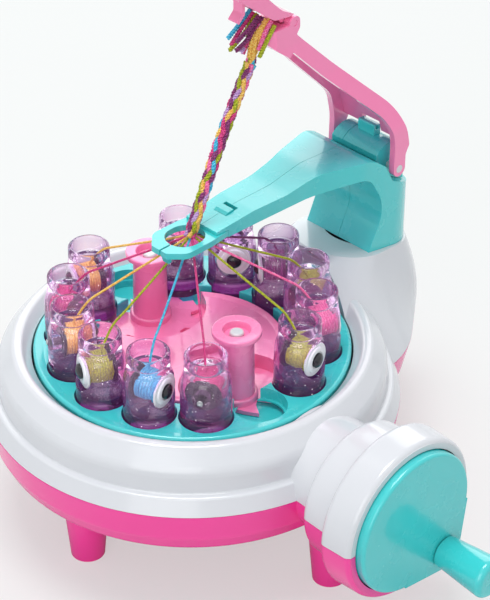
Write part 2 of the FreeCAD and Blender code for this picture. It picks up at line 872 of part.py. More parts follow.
def arm_half(side):
    """One moulded half of the arm; side is 1 for the right half and -1 for the left."""
    form = arm_form()
    room = 200.0
    start = parting_gap / 2 if side > 0 else -parting_gap / 2 - room
    keep = Part.makeBox(room, room, room, FreeCAD.Vector(start, -20.0, 0.0))
    slot = tongue_form(parting_gap)
    window = Part.makeBox(
        2 * (tab_half_width + parting_gap), tab_length + 3.0, room,
        FreeCAD.Vector(-tab_half_width - parting_gap, tab_front - parting_gap, fork_top - 1.0))
    return form.common(keep).cut(slot).cut(window)


def tongue_form(grown):
    """Tongue of the fork inside the arm, grown by a clearance."""
    return Part.makeBox(
        2 * (tongue_half_width + grown), tongue_end - arm_front, fork_thickness - 0.8 + 2 * grown,
        FreeCAD.Vector(-tongue_half_width - grown, arm_front + grown, fork_bottom + 0.4 - grown))


def guide_fork():
    """Fork at the arm's end: an oval eye over the deck's axis, with a narrow throat."""
    rear = arm_front + fork_lap - parting_gap
    plate = extruded([
        (-10.8, rear, 0),
        (-12.2, 2.0, 20.0),
        (-12.4, -14.0, 7.0),
        (-5.0, -21.3, 2.5),
        (5.0, -21.3, 2.5),
        (12.4, -14.0, 7.0),
        (12.2, 2.0, 20.0),
        (10.8, rear, 0),
    ], xy, fork_bottom, fork_top)
    half = eye_width / 2
    front = eye_centre - eye_length / 2
    back = eye_centre + eye_length / 2
    hole = extruded([
        (-half, front, half - 0.2),
        (half, front, half - 0.2),
        (half, back, half - 0.2),
        (-half, back, half - 0.2),
    ], xy, fork_bottom - 1, fork_top + 1)
    throat = Part.makeBox(1.0, 20.0, 20.0, FreeCAD.Vector(0.3, front - 19.0, fork_bottom - 10.0))
    lip = extruded([
        (-21.2, fork_bottom + 1.0, 0),
        (-18.6, fork_bottom + 1.0, 0),
        (-17.6, fork_bottom - 3.0, 0.6),
        (-19.8, fork_bottom - 3.6, 0.6),
    ], yz, 0.5, 5.0)
    tab_top = fork_top + 4.6
    tab = extruded([
        (tab_front, fork_bottom + 1.0, 0),
        (tab_front + tab_length, fork_bottom + 1.0, 0),
        (tab_front + tab_length, tab_top, 0.5),
        (tab_front + 1.5, tab_top - 0.5, 0.5),
        (tab_front, tab_top - 1.6, 0),
    ], yz, -tab_half_width, tab_half_width)
    return fused([plate, tongue_form(0.0), lip, tab]).cut(hole).cut(throat)


def hinge_cover():
    """Barrel cover over the lever's hinge, seated on the arm's shoulder, with a snap clip on top."""
    centre = FreeCAD.Vector(0, pivot_y, pivot_z)
    front = pivot_y - cover_front
    rear = pivot_y + cover_radius - 1.4
    barrel = cylinder(cover_radius, -cover_half_width, cover_half_width, centre, X)
    clear_front = Part.makeBox(
        60.0, 60.0, 60.0, FreeCAD.Vector(-30.0, front - 60.0, pivot_z - 30.0))
    block = extruded([
        (front, pivot_z - 3.0, 0),
        (front, pivot_z + 8.0, 0),
        (pivot_y, pivot_z + 8.0, 0),
        (rear, pivot_z - 4.0, 0),
        (rear, pivot_z - 14.0, 0),
        (pivot_y - 4.0, pivot_z - 8.0, 0),
    ], yz, -cover_half_width, cover_half_width)
    seat = moved(arm_form(), FreeCAD.Vector(0, parting_gap, parting_gap))
    below = Part.makeBox(60.0, 60.0, 12.0, FreeCAD.Vector(-30.0, pivot_y - 30.0, pivot_z - 26.0))
    cover = barrel.cut(clear_front).fuse(block).cut(seat).cut(below)
    clip = extruded([
        (pivot_y - 1.0, pivot_z + cover_radius - 1.5, 0),
        (pivot_y + 3.6, pivot_z + cover_radius - 1.5, 0),
        (pivot_y + 3.6, cover_clip_top - 0.6, 0.8),
        (pivot_y - 1.0, cover_clip_top, 0.8),
    ], yz, -5.5, 5.5)
    groove = cylinder(1.0, -6.0, 6.0, FreeCAD.Vector(0, pivot_y + 1.3, cover_clip_top - 2.1), X)
    seam = cylinder(cover_radius + 1.0, -8.2, -7.8, centre, X).cut(
        cylinder(cover_radius - 0.4, -9.0, -7.0, centre, X))
    cover = cover.fuse(clip).cut(groove).cut(seam)
    for side in (1, -1):
        cover = cover.cut(cylinder(
            pin_radius, cover_half_width - pin_seat, cover_half_width + 1, centre, X * side))
    return cover


# ---------------------------------------------------------------- lever and braid clip

def lever_side():
    """Side view of the lever, from the hinge pin: ears, a long bowed rail, and the head's block."""
    head = [
        (clip_y + 1.2, clip_z - 6.3, 1.0),
        (clip_y + 3.4, clip_z - 3.2, 2.0),
        (clip_y + 3.4, clip_z + 3.4, 3.3),
        (clip_y - 3.4, clip_z + 3.4, 3.3),
        (clip_y - 3.4, nose_top, 0.2),
        (nose_y, nose_top, 1.5),
        (nose_y, nose_top - 5.4, 1.0),
        (nose_y + 5.3, nose_top - 10.6, 6.0),
        (clip_y - 3.5, nose_top - 16.9, 1.0),
        (clip_y - 1.5, nose_top - 14.4, 0.5),
    ]
    rail = [
        (-ear_radius, -ear_radius, ear_radius - 0.1),
        (ear_radius, -ear_radius, ear_radius - 0.1),
        (ear_radius, 7.0, 6.0),
        (6.6, 11.6, 1.0),
        (4.1, 29.7, 50.0),
        (-41.0, 72.4, 60.0),
    ]
    front = [
        (-45.0, 65.0, 60.0),
        (-3.5, 25.5, 32.0),
    ]

    def placed(corners):
        return [(pivot_y + y, pivot_z + z, radius) for y, z, radius in corners]

    return placed(rail) + head + placed(front)


def lever_front(inset):
    """Front view of the lever: a wide yoke that narrows to the head."""
    foot_z = pivot_z - ear_radius - 2.0
    right = [
        (lever_half_width - inset, foot_z, 0),
        (lever_half_width - inset, 80.0, 20.0),
        (17.0 - inset, 102.0, 30.0),
        (12.0 - inset, 124.0, 30.0),
        (clip_half_width + 1.0 - inset, 146.0, 20.0),
        (clip_half_width + 0.6 - inset, clip_z + 12.0, 0),
    ]
    left = [(-x, z, r) for x, z, r in reversed(right)]
    return right + left


def lever():
    room = 200.0
    centre = FreeCAD.Vector(0, pivot_y, pivot_z)
    side = extruded(lever_side(), yz, -30.0, 30.0)
    front = extruded(lever_front(0), xz, 0.0, room)
    plan = extruded([
        (-5.5, nose_y - 0.5, 1.0),
        (5.5, nose_y - 0.5, 1.0),
        (9.5, nose_y + 5.7, 1.0),
        (30.0, nose_y + 5.7, 0),
        (30.0, room, 0),
        (-30.0, room, 0),
        (-30.0, nose_y + 5.7, 0),
        (-9.5, nose_y + 5.7, 1.0),
    ], xy, 0.0, room)
    inner_front = extruded(lever_front(lever_wall), xz, 0.0, room)
    hollow = moved(side, FreeCAD.Vector(0, -2.6, -1.8)).common(inner_front)
    keep_head = Part.makeBox(60.0, 60.0, 60.0, FreeCAD.Vector(-30.0, clip_y - 61.4, clip_z - 27.0))
    yoke = cylinder(web_reach, -ear_inside, ear_inside, centre, X)
    notch = cylinder(notch_reach, -notch_half_width, notch_half_width, centre, X)
    pin = cylinder(pin_radius + running_gap, -30.0, 30.0, centre, X)
    clip_centre = FreeCAD.Vector(0, clip_y, clip_z)
    clip_bore = cylinder(clip_pin_radius + running_gap, -30.0, 30.0, clip_centre, X)
    knuckle_half = clip_half_width - lever_wall + moving_gap / 2
    knuckle_room = cylinder(
        clip_knuckle_radius + 2.0, -knuckle_half, knuckle_half, clip_centre, X)
    body = side.common(front).common(plan).cut(hollow.cut(keep_head))
    for space in (yoke, notch, pin, clip_bore, knuckle_room):
        body = body.cut(space)
    return body


def braid_clip():
    """Hooked clip, hinged on the lever's head, that nips the braid's end against the nose."""
    shell = [
        (-2.9, 4.0, 0.5),
        (-12.9, 5.4, 6.0),
        (-32.4, 20.6, 4.0),
        (-35.3, 23.0, 1.0),
        (-35.9, 30.3, 2.0),
        (-27.9, 30.1, 5.0),
        (-15.7, 16.6, 20.0),
        (-8.3, 9.1, 20.0),
        (0.6, 4.2, 0.3),
    ]
    channel = [
        (-33.5, -10.0, 0),
        (-33.5, 27.7, 0.5),
        (-28.7, 27.5, 3.0),
        (-16.9, 14.4, 20.0),
        (-9.4, 6.8, 0),
        (-9.4, -10.0, 0),
    ]
    hook = [
        (-28.7, 29.0, 0),
        (-27.1, 29.0, 0),
        (-27.1, 11.8, 0.8),
        (-30.9, 8.0, 0.6),
        (-32.3, 9.2, 0.6),
        (-28.7, 12.8, 0.8),
    ]
    neck = [
        (0, 0, 0),
        (-5.5, 0.7, 0),
        (-8.4, 5.1, 0),
        (-5.9, 5.8, 0),
        (0, 4.3, 0),
    ]

    def solid(corners, half):
        return extruded([(clip_y + y, clip_z + z, r) for y, z, r in corners], yz, -half, half)

    centre = FreeCAD.Vector(0, clip_y, clip_z)
    knuckle_half = clip_half_width - lever_wall
    knuckle = cylinder(clip_knuckle_radius, -knuckle_half, knuckle_half, centre, X)
    pin = cylinder(clip_pin_radius, -clip_half_width - 0.6, clip_half_width + 0.6, centre, X)
    plate = solid(shell, clip_half_width).cut(solid(channel, clip_half_width - 2.4))
    return fused([plate, solid(hook, 3.0), solid(neck, knuckle_half), knuckle, pin])


def cord_path(route):
    """Straight runs joined by tangent arcs through a route of (y, z) points in the YZ plane."""
    corners = []
    for i, point in enumerate(route):
        if i in (0, len(route) - 1):
            corners.append((point[0], point[1], 0))
            continue
        before = math.dist(route[i - 1], point)
        after = math.dist(point, route[i + 1])
        turn_in = math.atan2(point[1] - route[i - 1][1], point[0] - route[i - 1][0])
        turn_out = math.atan2(route[i + 1][1] - point[1], route[i + 1][0] - point[0])
        half_turn = abs(turn_out - turn_in) / 2
        corners.append((point[0], point[1], 0.45 * min(before, after) / math.tan(half_turn)))
    return rounded_edges(corners, yz, closed=False), [corner[2] for corner in corners[1:-1]]


# Centreline of the taut braid, from the gather to the lever's head.
braid_route = [(-1.2, 63.2), (9.4, 85.4), (22.0, 113.4), (nose_y - 3.6, 140.2)]


def braid():
    path, radii = cord_path(braid_route)
    print("braid arc radii", [round(radius, 1) for radius in radii])
    heading = yz(*braid_route[1]) - yz(*braid_route[0])
    ring = Part.Wire(Part.makeCircle(braid_diameter / 2, yz(*braid_route[0]), heading))
    return Part.Wire(path).makePipeShell([ring], True, False)


def tassel():
    """Loose thread ends beyond the clip, as one soft fan."""
    return extruded([
        (nose_y - 6.0, 165.0, 1.5),
        (nose_y - 0.2, 159.5, 1.0),
        (nose_y - 0.2, 146.0, 2.0),
        (nose_y - 5.0, 144.6, 2.0),
        (nose_y - 20.5, 156.0, 1.5),
        (nose_y - 20.5, 159.5, 1.0),
    ], yz, -3.5, 4.5)


def lever_pins():
    """White pins, one through each ear into the cover."""
    centre = FreeCAD.Vector(0, pivot_y, pivot_z)
    start = cover_half_width - pin_seat
    return Part.makeCompound([
        cylinder(pin_radius, start, lever_half_width, centre, X * side) for side in (1, -1)])


def node_table():
    """Every sub-part's solid by node name."""
    top, tray = housing_halves()
    nodes = {
        "top_housing": top,
        "bottom_tray": tray,
        "centre_post": centre_post(),
        "crank_bearing": crank_bearing(),
        "arm_left_half": arm_half(-1),
        "arm_right_half": arm_half(1),
        "guide_fork": guide_fork(),
        "hinge_cover": hinge_cover(),
        "lever_pins": lever_pins(),
        "deck": deck(),
        "rotor_plate": rotor_plate(),
        "deck_gear": deck_gear(),
        "tower_right": tower(tower_angles[0]),
        "tower_left": tower(tower_angles[1]),
        "spindle_right": spindle(tower_angles[0]),
        "spindle_left": spindle(tower_angles[1]),
        "crank_disc": crank_disc(),
        "crank_knob": crank_knob(),
        "crank_shaft": crank_shaft(),
        "lever": lever(),
        "braid_clip": braid_clip(),
        "braid": braid(),
        "tassel": tassel(),
        "base_screws": base_screws(),
    }
    for number, slot in enumerate(window_angles, start=1):
        place = polar(pocket_ring_radius, slot_angle(slot), -pocket_depth)
        nodes["pod_%02d" % number] = moved(pod(window_angles[slot]), place)
        nodes["spool_%02d" % number] = moved(spool(window_angles[slot]), place)
        nodes["thread_%02d" % number] = thread(slot_angle(slot))
    return nodes


def place_node(shape):
    return moved(shape, FreeCAD.Vector(-footprint_x, -footprint_y, table_depth))


os.makedirs("parts", exist_ok=True)
for name, shape in node_table().items():
    place_node(shape).exportStep("parts/%s.step" % name)
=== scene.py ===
import bpy
import bmesh
import math
import random
from mathutils import Matrix, Vector


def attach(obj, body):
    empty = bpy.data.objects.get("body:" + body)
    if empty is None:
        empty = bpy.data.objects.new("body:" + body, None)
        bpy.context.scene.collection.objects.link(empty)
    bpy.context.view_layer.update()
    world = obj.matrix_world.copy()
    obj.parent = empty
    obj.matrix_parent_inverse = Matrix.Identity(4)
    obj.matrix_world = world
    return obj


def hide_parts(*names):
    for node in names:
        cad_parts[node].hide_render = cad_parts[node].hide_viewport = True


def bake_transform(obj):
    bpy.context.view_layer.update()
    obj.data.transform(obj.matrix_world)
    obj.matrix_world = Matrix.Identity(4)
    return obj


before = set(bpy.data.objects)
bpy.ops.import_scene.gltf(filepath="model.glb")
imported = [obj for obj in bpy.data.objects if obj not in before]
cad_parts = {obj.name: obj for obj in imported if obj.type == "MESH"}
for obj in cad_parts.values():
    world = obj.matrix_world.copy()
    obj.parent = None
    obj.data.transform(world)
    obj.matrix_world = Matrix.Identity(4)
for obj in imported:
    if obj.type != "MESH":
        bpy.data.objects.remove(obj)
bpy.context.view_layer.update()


# ------------------------------------------------------------------ table, daylight and camera
# A pale table top in a white room with three softboxes: one large overhead, one low behind the
# machine that the glossy tops mirror, and one in front.

def paint(code):
    """Linear colour of a paint-chart code such as 'E1288C'."""
    parts = [int(code[i:i + 2], 16) / 255 for i in (0, 2, 4)]
    return [c / 12.92 if c <= 0.04045 else ((c + 0.055) / 1.055) ** 2.4 for c in parts] + [1.0]


def fill(tree, socket, value):
    """Links a socket from another one, or sets it to a plain value."""
    if isinstance(value, bpy.types.NodeSocket):
        tree.links.new(value, socket)
    else:
        socket.default_value = value


def feed(tree, target, **values):
    """Fills a node's inputs, named with _ for spaces."""
    for label, value in values.items():
        fill(tree, target.inputs[label.replace("_", " ")], value)
    return target


def node(tree, kind, settings=(), **values):
    """New node in a tree, with its settings and then its inputs."""
    made = tree.nodes.new(kind)
    for label, value in dict(settings).items():
        setattr(made, label, value)
    return feed(tree, made, **values)


def calc(tree, operation, *values):
    """Result of a math node on sockets or plain numbers."""
    made = node(tree, "ShaderNodeMath", {"operation": operation})
    for socket, value in zip(made.inputs, values):
        fill(tree, socket, value)
    return made.outputs[0]


def finish_surface(tree, output, share, first, second):
    """Mixes two shaders by a share and puts the result out."""
    mix = tree.nodes.new("ShaderNodeMixShader")
    for socket, value in zip(mix.inputs, (share, first.outputs[0], second.outputs[0])):
        fill(tree, socket, value)
    tree.links.new(mix.outputs[0], tree.nodes[output].inputs["Surface"])


def new_material(name):
    """New material, its tree and its Principled node."""
    material = bpy.data.materials.new(name)
    material.use_nodes = True
    tree = material.node_tree
    return material, tree, tree.nodes["Principled BSDF"]


table_reach = 6.0
corners = [(x * table_reach, y * table_reach, 0) for x, y in ((-1, -1), (1, -1), (1, 1), (-1, 1))]
table_mesh = bpy.data.meshes.new("table_top")
table_mesh.from_pydata(corners, [], [(0, 1, 2, 3)])
table = bpy.data.objects.new("table_top", table_mesh)
bpy.context.scene.collection.objects.link(table)
table_paint, tree, skin = new_material("pale table")
feed(tree, skin, Base_Color=paint("D9DBDA"), Roughness=0.75, Specular_IOR_Level=0.15)
paper = node(tree, "ShaderNodeEmission", Color=(0.955, 0.97, 0.96, 1.0))
paper_share = 0.5
seen = tree.nodes.new("ShaderNodeLightPath").outputs["Is Camera Ray"]
finish_surface(tree, "Material Output", calc(tree, "MULTIPLY", seen, paper_share), skin, paper)
table_mesh.materials.append(table_paint)

world = bpy.data.worlds.new("white room")
bpy.context.scene.world = world
world.use_nodes = True
tree = world.node_tree
room = feed(tree, tree.nodes["Background"], Color=(0.94, 0.97, 1.0, 1.0), Strength=0.62)
backdrop = node(tree, "ShaderNodeBackground", Color=(0.96, 0.98, 0.97, 1.0), Strength=1.0)
rays = tree.nodes.new("ShaderNodeLightPath").outputs
mirrored = calc(tree, "MAXIMUM", rays["Is Transmission Ray"], rays["Is Glossy Ray"])
seen = calc(tree, "MAXIMUM", rays["Is Camera Ray"], mirrored)
finish_surface(tree, "World Output", seen, room, backdrop)


def softbox(name, place, size, power):
    """Rectangular lamp that points at the middle of the machine."""
    lamp = bpy.data.lights.new(name, "AREA")
    lamp.shape = "RECTANGLE"
    lamp.size, lamp.size_y = size
    lamp.energy = power
    holder = bpy.data.objects.new(name, lamp)
    holder.location = place
    aim = Vector((0.0, 0.0, 0.1)) - Vector(place)
    holder.rotation_euler = aim.to_track_quat("-Z", "Y").to_euler()
    bpy.context.scene.collection.objects.link(holder)


softbox("overhead softbox", (-0.1, -0.15, 1.9), size=(0.8, 0.8), power=18.5)
softbox("rear softbox", (-1.0, 1.0, 0.95), size=(1.6, 1.0), power=9.0)
softbox("front softbox", (0.9, -1.5, 0.8), size=(1.2, 1.2), power=9.0)

camera_data = bpy.data.cameras.new("camera")
camera_data.lens = 139.157
camera_data.sensor_width = 36.0
camera = bpy.data.objects.new("camera", camera_data)
camera.location = (0.637818, -0.658670, 0.750252)
camera.rotation_euler = [math.radians(angle) for angle in (55.62977, -0.32364, 45.44052)]
bpy.context.scene.collection.objects.link(camera)
bpy.context.scene.camera = camera
bpy.context.scene.view_settings.view_transform = "Standard"


# ------------------------------------------------------------------ bottom tray
# The magenta tray with its four legs is one injection moulding in glossy ABS. It carries every
# hidden piece, and the screws go up through it into the white housing.

def shader_group(name, inputs, outputs):
    """Shader node group with named inputs (label, type, value) and outputs (label, type)."""
    group = bpy.data.node_groups.new(name, "ShaderNodeTree")
    for label, kind, value in inputs:
        socket = group.interface.new_socket(label, in_out="INPUT", socket_type="NodeSocket" + kind)
        socket.default_value = value
    for label, kind in outputs:
        group.interface.new_socket(label, in_out="OUTPUT", socket_type="NodeSocket" + kind)
    return group, group.nodes.new("NodeGroupInput").outputs, group.nodes.new("NodeGroupOutput")


def moulded_skin():
    """What every moulded plastic shares: slow colour drift, uneven gloss and a faint ripple."""
    group, given, end = shader_group(
        "Moulded skin",
        (("Colour", "Color", (0.8, 0.8, 0.8, 1)), ("Deep colour", "Color", (0.5, 0.5, 0.5, 1)),
         ("Drift size", "Float", 30.0), ("Haze size", "Float", 75.0), ("Gloss low", "Float", 0.15),
         ("Gloss high", "Float", 0.3), ("Ripple size", "Float", 160.0)),
        (("Colour", "Color"), ("Roughness", "Float"), ("Relief", "Float")))
    where = group.nodes.new("ShaderNodeTexCoord").outputs["Object"]
    drift = node(group, "ShaderNodeTexNoise", Vector=where, Scale=given["Drift size"])
    tone = node(group, "ShaderNodeMix", {"data_type": "RGBA"}, Factor=drift.outputs["Fac"],
                A=given["Colour"], B=given["Deep colour"])
    haze = node(group, "ShaderNodeTexNoise", Vector=where, Scale=given["Haze size"], Detail=5.0)
    gloss = node(group, "ShaderNodeMapRange", Value=haze.outputs["Fac"], From_Min=0.35,
                 From_Max=0.65, To_Min=given["Gloss low"], To_Max=given["Gloss high"])
    ripple = node(group, "ShaderNodeTexNoise", Vector=where, Scale=given["Ripple size"], Detail=1.0)
    feed(group, end, Colour=tone.outputs["Result"], Roughness=gloss.outputs["Result"],
         Relief=ripple.outputs["Fac"])
    return group


skin_group = moulded_skin()


def moulded(name, colour, deep, gloss=(0.16, 0.26), coat=0.25):
    """A moulded plastic in one colour, with the shared skin at its own gloss."""
    material, tree, skin = new_material(name)
    shared = node(tree, "ShaderNodeGroup", {"node_tree": skin_group}, Colour=paint(colour),
                  Deep_colour=paint(deep), Gloss_low=gloss[0], Gloss_high=gloss[1])
    bump = node(tree, "ShaderNodeBump", Height=shared.outputs["Relief"], Distance=0.00012,
                Strength=0.5)
    feed(tree, skin, Base_Color=shared.outputs["Colour"], Roughness=shared.outputs["Roughness"],
         Normal=bump.outputs["Normal"], Coat_Weight=coat, Coat_Roughness=0.06)
    return material


def dress(material, *names):
    """Puts a material on the solid pieces that keep their own shape."""
    for name in names:
        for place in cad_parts[name].material_slots:
            place.material = material


magenta = moulded("magenta plastic", "F8409E", "F03A98")
dress(magenta, "bottom_tray")


# ------------------------------------------------------------------ hidden works and screws
# The post, bearing, shaft and gears inside are natural white acetal, left as moulded. The four
# screws are zinc-plated steel and are driven from below.

natural_white = moulded("natural acetal", "EDEBE2", "E3E0D4", gloss=(0.32, 0.45), coat=0.0)
dress(natural_white, "centre_post", "crank_bearing", "crank_shaft", "deck_gear")

plated, tree, skin = new_material("zinc plate")
where = tree.nodes.new("ShaderNodeTexCoord").outputs["Object"]
grain = node(tree, "ShaderNodeTexNoise", Vector=where, Scale=900.0)
tarnish = node(tree, "ShaderNodeMapRange", Value=grain.outputs["Fac"], To_Min=0.25, To_Max=0.5)
feed(tree, skin, Base_Color=paint("B9BABD"), Metallic=1.0, Roughness=tarnish.outputs["Result"])
dress(plated, "base_screws")


# ------------------------------------------------------------------ top housing
# The white housing is the bezel round the deck, the shoulder under the arm and the upper half of
# the crank's ring, in one high-gloss moulding that seats on the tray.

white = moulded("white plastic", "D6D7DB", "D0D2D7", gloss=(0.14, 0.22), coat=0.35)
dress(white, "top_housing", "lever_pins", "spindle_right", "spindle_left")


# ------------------------------------------------------------------ deck
# The turquoise deck is one ABS moulding with fourteen round pockets for the pods. It turns inside
# the bezel on the hidden centre post, driven through the crown gear under it.

turquoise = moulded("turquoise plastic", "40CCCD", "38C6C7", gloss=(0.2, 0.3), coat=0.6)
dress(turquoise, "deck")


# ------------------------------------------------------------------ rotor plate and towers
# The pink rotor plate is moulded on its own and seats in the deck. Two pink towers, each in one
# piece with its toothed star wheel, turn over the plate's recesses on white spindles.

light_pink = moulded("pink plastic", "FD8CBE", "FC84B8", gloss=(0.22, 0.34), coat=0.8)
dress(light_pink, "rotor_plate", "tower_right", "tower_left")


# ------------------------------------------------------------------ crank
# The crank's dial is moulded in the deck's turquoise ABS and turns in the white ring. Its knob
# spins on a peg in the dial's lobe.

dress(turquoise, "crank_disc", "crank_knob")


# ------------------------------------------------------------------ reels
# Each pod holds a small reel of moulded plastic: a black core with a pointed hub and a back flange,
# and a finely toothed white flange pressed on in front. A few metres of glossy rayon thread are
# wound on its barrel.

deck_centre = Vector((-0.03825, -0.0238, 0.091))
# Radius of the ring of pods, their foot's height over the deck's rim, and the reel's over the foot.
pod_ring, pod_foot, spool_axis = 0.0604, -0.006, 0.0224
pockets = 14
first_pocket, pocket_pitch = -11.7, 360.0 / pockets

# Pod number: its pocket, the way its window faces, and its thread's colour.
pod_places = {
    1: (1, 10.0, "olive"), 2: (2, 70.0, "rose"), 3: (3, 120.0, "olive"),
    4: (4, 230.0, "plum"), 5: (5, -40.0, "lilac"), 6: (6, 100.0, "rose"),
    7: (8, 250.0, "amber"), 8: (9, 190.0, "magenta"), 9: (10, 60.0, "amber"),
    10: (11, -113.0, "olive"), 11: (12, 13.0, "sky"), 12: (13, 123.0, "magenta"),
}
# Body colour of each thread, and the lighter colour of the painted glints on its fibres.
yarn_colours = {
    "olive": ("7C8304", "C0CA1E"), "amber": ("D99A2C", "FADB7A"), "magenta": ("AE0F5A", "E85199"),
    "rose": ("E03C88", "FA93BF"), "sky": ("0494C2", "5CD2EC"), "lilac": ("9B69B0", "DDBBE6"),
    "plum": ("5E134B", "9C3F84"),
}


def from_deck(pocket, reach, height):
    """Point over a pocket's spoke, at that reach from the deck's axis and height over its rim."""
    turn = math.radians(first_pocket + pocket * pocket_pitch)
    return deck_centre + Vector((reach * math.cos(turn), reach * math.sin(turn), height))


def in_pod(number, height):
    """Matrix that puts a piece on its pod's axis at a height over the foot, facing the window."""
    pocket, faces, colour = pod_places[number]
    place = from_deck(pocket, pod_ring, pod_foot + height)
    return Matrix.Translation(place) @ Matrix.Rotation(math.radians(faces), 4, "Z")


def lathe(name, profile, sides, tooth=0.0):
    """Closed mesh turned about X from (along, radius) points. A third item marks a toothed rim."""
    shape = bmesh.new()
    rings = []
    for along, radius, *toothed in profile:
        if radius == 0:
            rings.append([shape.verts.new((along, 0, 0))] * sides)
            continue
        ring = []
        for i in range(sides):
            reach = radius - (tooth if toothed and i % 2 else 0.0)
            turn = 2 * math.pi * i / sides
            ring.append(shape.verts.new((along, reach * math.cos(turn), reach * math.sin(turn))))
        rings.append(ring)
    for near, far in zip(rings, rings[1:]):
        for i in range(sides):
            k = (i + 1) % sides
            shape.faces.new(list(dict.fromkeys((near[i], near[k], far[k], far[i]))))
    bmesh.ops.recalc_face_normals(shape, faces=shape.faces)
    mesh = bpy.data.meshes.new(name)
    shape.to_mesh(mesh)
    shape.free()
    return mesh


def shown(name, data, material=None, sharp=35.0):
    """Linked object of that mesh or curve. A mesh is smooth but for edges over the sharp angle."""
    piece = bpy.data.objects.new(name, data)
    bpy.context.scene.collection.objects.link(piece)
    if material:
        data.materials.clear()
        data.materials.append(material)
        data.shade_smooth()
        data.set_sharp_from_angle(angle=math.radians(sharp))
    return piece


def geometry_tree(name, *inputs):
    """Geometry Nodes tree with named inputs (label, type, value), and its input sockets."""
    tree = bpy.data.node_groups.new(name, "GeometryNodeTree")
    tree.interface.new_socket("Geometry", in_out="INPUT", socket_type="NodeSocketGeometry")
    for label, kind, value in inputs:
        socket = tree.interface.new_socket(label, in_out="INPUT", socket_type="NodeSocket" + kind)
        if value is not None:
            socket.default_value = value
    tree.interface.new_socket("Geometry", in_out="OUTPUT", socket_type="NodeSocketGeometry")
    return tree, tree.nodes.new("NodeGroupInput").outputs


def close_tree(tree, geometry, material):
    """Ends a tree: smooth, real geometry in one material."""
    smooth = node(tree, "GeometryNodeSetShadeSmooth", Geometry=geometry)
    real = node(tree, "GeometryNodeRealizeInstances", Geometry=smooth.outputs[0])
    dressed = node(tree, "GeometryNodeSetMaterial", Geometry=real.outputs[0], Material=material)
    tree.links.new(dressed.outputs[0], tree.nodes.new("NodeGroupOutput").inputs[0])
    return tree


def sweep(tree, curve, radius, sides):
    """Closed round tube along a curve."""
    section = node(tree, "GeometryNodeCurvePrimitiveCircle", Resolution=sides, Radius=radius)
    tube = node(tree, "GeometryNodeCurveToMesh", Curve=curve, Profile_Curve=section.outputs[0],
                Fill_Caps=True)
    return tube.outputs[0]


def made_by(piece, tree, name, **values):
    """Runs a tree on a piece, with those inputs, and returns a piece with the plain mesh."""
    modifier = piece.modifiers.new(tree.name, "NODES")
    modifier.node_group = tree
    for item in tree.interface.items_tree:
        key = item.name.replace(" ", "_")
        if item.in_out == "INPUT" and key in values:
            modifier[item.identifier] = values[key]
    bpy.context.view_layer.update()
    graph = bpy.context.evaluated_depsgraph_get()
    mesh = bpy.data.meshes.new_from_object(piece.evaluated_get(graph))
    bpy.data.objects.remove(piece)
    return shown(name, mesh)


def winding_tree():
    """Thread wound on a reel along X: one helix whose turns bulge and wander a little."""
    tree, given = geometry_tree(
        "Wound thread",
        ("From", "Float", 0.0), ("Width", "Float", 0.01), ("Radius", "Float", 0.0065),
        ("Turns", "Float", 8.6), ("Thread radius", "Float", 0.0007), ("Wander", "Float", 0.0009),
        ("Seed", "Float", 0.0), ("Yarn", "Material", None))
    helix = node(tree, "GeometryNodeCurveSpiral", Resolution=40, Rotations=given["Turns"],
                 Start_Radius=given["Radius"], End_Radius=given["Radius"], Height=given["Width"])
    turned = node(tree, "GeometryNodeTransform", Geometry=helix.outputs[0],
                  Rotation=(0.0, math.pi / 2, 0.0))
    shift = node(tree, "ShaderNodeCombineXYZ", X=given["From"])
    placed = node(tree, "GeometryNodeSetPosition", Geometry=turned.outputs[0],
                  Offset=shift.outputs[0])
    noise = node(tree, "ShaderNodeTexNoise", {"noise_dimensions": "4D"},
                 Vector=tree.nodes.new("GeometryNodeInputPosition").outputs[0], W=given["Seed"],
                 Scale=260.0, Detail=1.0)
    swing = node(tree, "ShaderNodeVectorMath", {"operation": "SUBTRACT"})
    tree.links.new(noise.outputs["Color"], swing.inputs[0])
    swing.inputs[1].default_value = (0.5, 0.5, 0.5)
    wander = node(tree, "ShaderNodeVectorMath", {"operation": "SCALE"}, Vector=swing.outputs[0],
                  Scale=given["Wander"])
    loose = node(tree, "GeometryNodeSetPosition", Geometry=placed.outputs[0],
                 Offset=wander.outputs[0])
    return close_tree(tree, sweep(tree, loose.outputs[0], given["Thread radius"], 7), given["Yarn"])


def yarn_fibre():
    """Fibres of a glossy thread: flecks of painted glint among the body colour, the relief they
    make, and their gloss.
    """
    group, given, end = shader_group(
        "Yarn fibre",
        (("Colour", "Color", (0.5, 0.5, 0.5, 1)), ("Glint", "Color", (0.8, 0.8, 0.8, 1)),
         ("Fibre size", "Float", 1500.0)),
        (("Colour", "Color"), ("Relief", "Float"), ("Roughness", "Float")))
    where = group.nodes.new("ShaderNodeTexCoord").outputs["Object"]
    fleck = node(group, "ShaderNodeTexNoise", Vector=where, Scale=given["Fibre size"], Detail=3.0,
                 Roughness=0.6).outputs["Fac"]
    share = node(group, "ShaderNodeMapRange", Value=fleck, From_Min=0.38, From_Max=0.64)
    # Painted glint: where the flecks are high, the colour goes to the lighter Glint colour for
    # light caught by the fibres.
    tone = node(group, "ShaderNodeMix", {"data_type": "RGBA"}, Factor=share.outputs["Result"],
                A=given["Colour"], B=given["Glint"])
    gloss = node(group, "ShaderNodeMapRange", Value=fleck, To_Min=0.62, To_Max=0.36)
    feed(group, end, Colour=tone.outputs["Result"], Relief=fleck, Roughness=gloss.outputs["Result"])
    return group


yarn_group = yarn_fibre()


